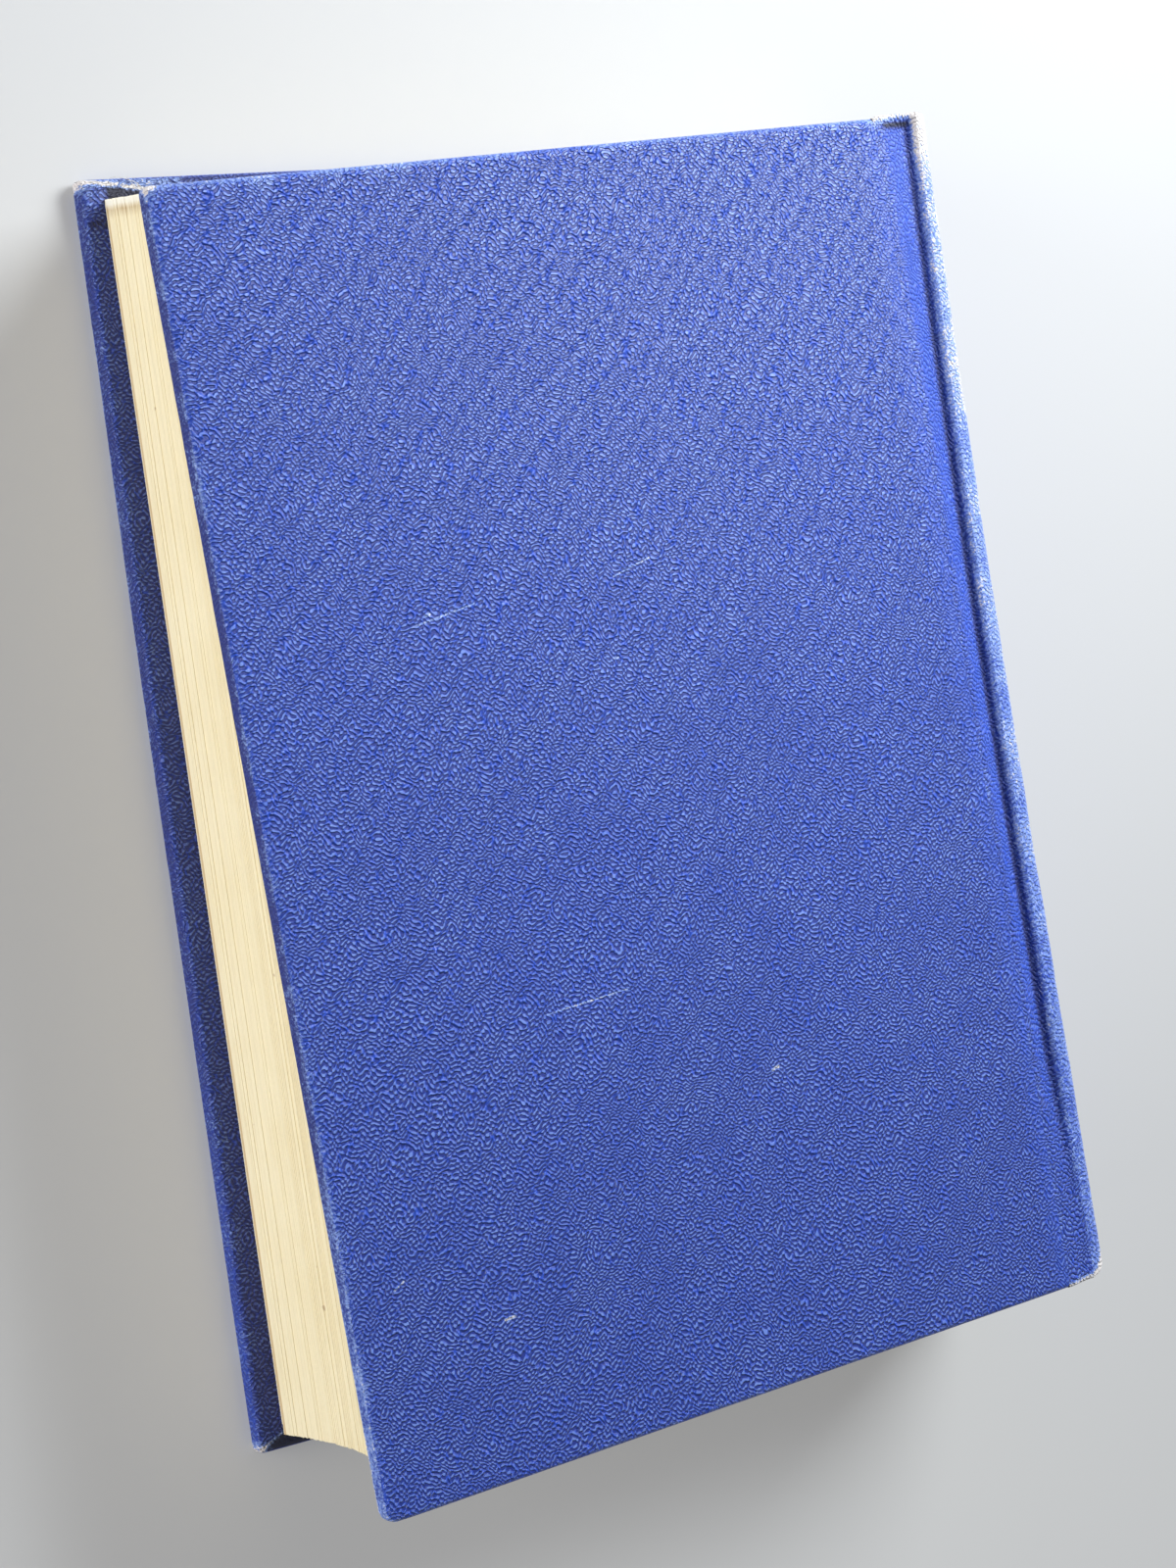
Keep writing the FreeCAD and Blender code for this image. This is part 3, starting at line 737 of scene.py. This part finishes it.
def text_block():
    """The leaves in groups, each a little uneven at its edges, with marks near the ends and a painted
    highlight along the top of the fore edge.
    """
    generator = np.random.default_rng(7)
    rings, tans, whites = [], [], []
    loose = 0.0
    for k in range(LEAF_GROUPS):
        loose = 0.7 * loose + 0.3 * generator.normal() * 0.12
        pull = float(np.clip(generator.normal() * 0.05 + loose, -0.16, 0.14))
        rise, fall = generator.normal() * 0.05, generator.normal() * 0.05
        for edge in (0.06, 0.94):
            share = (k + edge) / LEAF_GROUPS
            swell = 1 - (2 * share - 1) ** 2
            rings.append(leaf_outline(share, FORE_HOLLOW * swell - LEAF_W + pull, SPINE_ROUND * swell,
                                      FLOOR + BLOCK * share, fall, LEAF_H + rise))
            tans.append({0: 0.65, 1: 0.65, LEAF_GROUPS - 12: 0.45}.get(k, 0.0))
            whites.append(0.85 if k > LEAF_GROUPS - 9 else 0.0)
    rings = [leaf_outline(0, -LEAF_W, 0, FLOOR)] + rings + [leaf_outline(1, -LEAF_W, 0, FLOOR + BLOCK)]
    tans, whites = [0.65] + tans + [0.0], [0.0] + whites + [0.8]
    columns = len(rings[0])
    points = np.concatenate(rings)
    faces = grid_faces(len(rings), columns, wrap=True)
    faces.append(tuple(reversed(range(columns))))
    last = (len(rings) - 1) * columns
    faces.append(tuple(range(last, last + columns)))
    tan, white = np.repeat(tans, columns), np.repeat(whites, columns)
    for share, face, out in ((0.0, FLOOR, -1), (1.0, FLOOR + BLOCK, 1)):
        start = len(points)
        wedge = [leaf_outline(share, lerp(-SHOULDER_FOOT, -SHOULDER_TOP, k / 6), -SHOULDER_INSET * k / 6,
                              face + out * SHOULDER_RISE * k / 6) for k in range(7)]
        points = np.concatenate([points] + wedge)
        sides = grid_faces(7, columns, start, wrap=True)
        lid = tuple(range(start + 6 * columns, start + 7 * columns))
        if out < 0:
            sides = [tuple(reversed(f)) for f in sides]
            lid = tuple(reversed(lid))
        faces += sides + [lid]
        tan = np.concatenate([tan, np.zeros(7 * columns)])
        white = np.concatenate([white, np.zeros(7 * columns)])
    # Distance below the head along the fore edge. Elsewhere it is too far down for the painted highlight and
    # the brown band.
    down = np.full(columns, 50.0)
    down[-TALL_STEPS:] = LEAF_H * spread(TALL_STEPS, CORNER_PULL)[:-1]
    down = np.tile(down, len(points) // columns)
    # A painted highlight whitens the top millimetre or so of the fore edge, and a brown band lies just below
    # it.
    white = np.maximum(white, 0.9 * smooth(1.3, 0.8, down))
    stain = 0.8 * bump(down, 2.0, 0.8)
    piece = mesh_piece("text_block_leaves", points, faces, LEAF_EDGES, "book_block", soft_angle=35,
                       tan=tan, white=white, stain=stain)
    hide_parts("text_block")


def threads():
    """Loose threads at the knocked head corner of the cover that lies on top."""
    corner = cover_point("back", np.array(COVER_W - 0.6), np.array(COVER_H - 0.4), np.array(1.6))
    for number, (reach, rise, curl, drop) in enumerate(THREADS):
        steps, sides, radius = 18, 6, 0.07
        t = np.linspace(0, 1, steps)
        path = corner + np.stack([-reach * t, rise * t + curl * np.sin(2.6 * t), -drop * t**2], axis=-1)
        path[:, 1] += 0.12 * np.sin(9 * t + number)
        points = []
        for k in range(steps):
            run = Vector(path[min(k + 1, steps - 1)] - path[max(k - 1, 0)]).normalized()
            across = run.cross(Vector((0, 0, 1))).normalized()
            other = run.cross(across)
            for j in range(sides):
                a = 2 * math.pi * j / sides
                outward = np.array(across * math.cos(a) + other * math.sin(a))
                points.append(path[k] + radius * (1 - 0.6 * k / steps) * outward)
        faces = grid_faces(steps, sides, wrap=True)
        faces += [tuple(range(sides)), tuple(reversed(range((steps - 1) * sides, steps * sides)))]
        piece = mesh_piece(f"corner_thread_{number + 1}", points, faces, THREAD, "back_cover", flip=True)


# Dressing the CAD nodes
def dress(name, material):
    """A node of the frame keeps its shape and gets this material."""
    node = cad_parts[name]
    node.data.materials.clear()
    node.data.materials.append(material)


for cover_side, wear_rule in (("front", front_wear), ("back", back_wear)):
    cover_skin(cover_side, wear_rule)
    joint_skin(cover_side)
    dress(f"{cover_side}_board", BOARD)
    dress(f"{cover_side}_pastedown", ENDPAPER)
    dress(f"{cover_side}_flyleaf", ENDPAPER)
spine_skin()
card_strip()
text_block()
threads()
dress("mull", GAUZE)
dress("spine_lining", CARD)


# Floor, light and camera, in metres
def floor():
    """A pale floor, brighter to the camera and in reflections than it lights."""
    n = Nodes("pale_floor")
    place = n.node("ShaderNodeTexCoord").outputs["Object"]
    tone = n.mix(n.between(n.noise(place, 0.6, 2.0, 0.5), 0.3, 0.7), (0.37, 0.37, 0.38), (0.40, 0.40, 0.40))
    away = n.node("ShaderNodeVectorMath", {0: place}, operation="LENGTH").outputs["Value"]
    glow = n.math("MULTIPLY", seen_rays(n.tree), n.between(away, 0.2, 1.2, GLOW_NEAR, GLOW_FAR))
    material = n.surface(Base_Color=tone, Roughness=0.75, Specular_IOR_Level=0.2,
                         Emission_Color=(1.0, 1.0, 1.0), Emission_Strength=glow)
    mesh = bpy.data.meshes.new("floor")
    reach = 30
    corners = [(-reach, -reach, 0), (reach, -reach, 0), (reach, reach, 0), (-reach, reach, 0)]
    mesh.from_pydata(corners, [], [(0, 1, 2, 3)])
    piece = bpy.data.objects.new("floor", mesh)
    mesh.materials.append(material)
    bpy.context.collection.objects.link(piece)


def lamp(name, place, target, width, height, power, beam, tint=(1, 1, 1)):
    """A soft box whose light stays within the beam, an angle in degrees."""
    data = bpy.data.lights.new(name, "AREA")
    data.shape, data.size, data.size_y, data.energy, data.color = "RECTANGLE", width, height, power, tint
    data.spread = math.radians(beam)
    made = bpy.data.objects.new(name, data)
    made.location = place
    made.rotation_euler = (Vector(target) - Vector(place)).to_track_quat("-Z", "Y").to_euler()
    made.visible_camera = False
    bpy.context.collection.objects.link(made)


def seen_rays(tree):
    """One for rays from the camera, from reflections and through glass."""
    rays = tree.nodes.new("ShaderNodeLightPath").outputs
    seen = rays["Is Camera Ray"]
    for kind in ("Is Glossy Ray", "Is Transmission Ray"):
        either = tree.nodes.new("ShaderNodeMath")
        either.operation = "MAXIMUM"
        tree.links.new(seen, either.inputs[0])
        tree.links.new(rays[kind], either.inputs[1])
        seen = either.outputs[0]
    return seen


def studio():
    """An even pale room, which looks brighter to the camera and in reflections than it lights."""
    world = bpy.data.worlds.new("studio")
    bpy.context.scene.world = world
    world.use_nodes = True
    tree = world.node_tree
    strength = tree.nodes.new("ShaderNodeMapRange")
    tree.links.new(seen_rays(tree), strength.inputs["Value"])
    strength.inputs["To Min"].default_value = ROOM_LIGHT
    strength.inputs["To Max"].default_value = ROOM_SEEN
    background = tree.nodes["Background"].inputs
    background["Color"].default_value = (0.95, 0.97, 1.0, 1.0)
    tree.links.new(strength.outputs["Result"], background["Strength"])


def camera():
    """The photograph's camera, which looks down on the book."""
    look, up = Vector(CAMERA_LOOK).normalized(), Vector(CAMERA_UP)
    up = (up - up.dot(look) * look).normalized()
    right = look.cross(up)
    made = bpy.data.objects.new("camera", bpy.data.cameras.new("camera"))
    axes = Matrix((right, up, -look)).transposed().to_4x4()
    made.matrix_world = Matrix.Translation(CAMERA_AT) @ axes
    made.data.sensor_fit, made.data.sensor_width, made.data.lens = "AUTO", 36.0, CAMERA_LENS
    bpy.context.collection.objects.link(made)
    bpy.context.scene.camera = made


floor()
camera()
lamp("key", place=(0.38, 0.30, 0.36), target=(0.04, 0.11, 0.04), width=0.36, height=0.36,
     power=2.2, beam=95, tint=(0.93, 0.98, 1.0))
lamp("side", place=(-1.15, 0.15, 0.26), target=(-0.08, 0.0, 0.03), width=0.9, height=0.25,
     power=1.75, beam=60)
studio()
bpy.context.scene.view_settings.view_transform = "Standard"
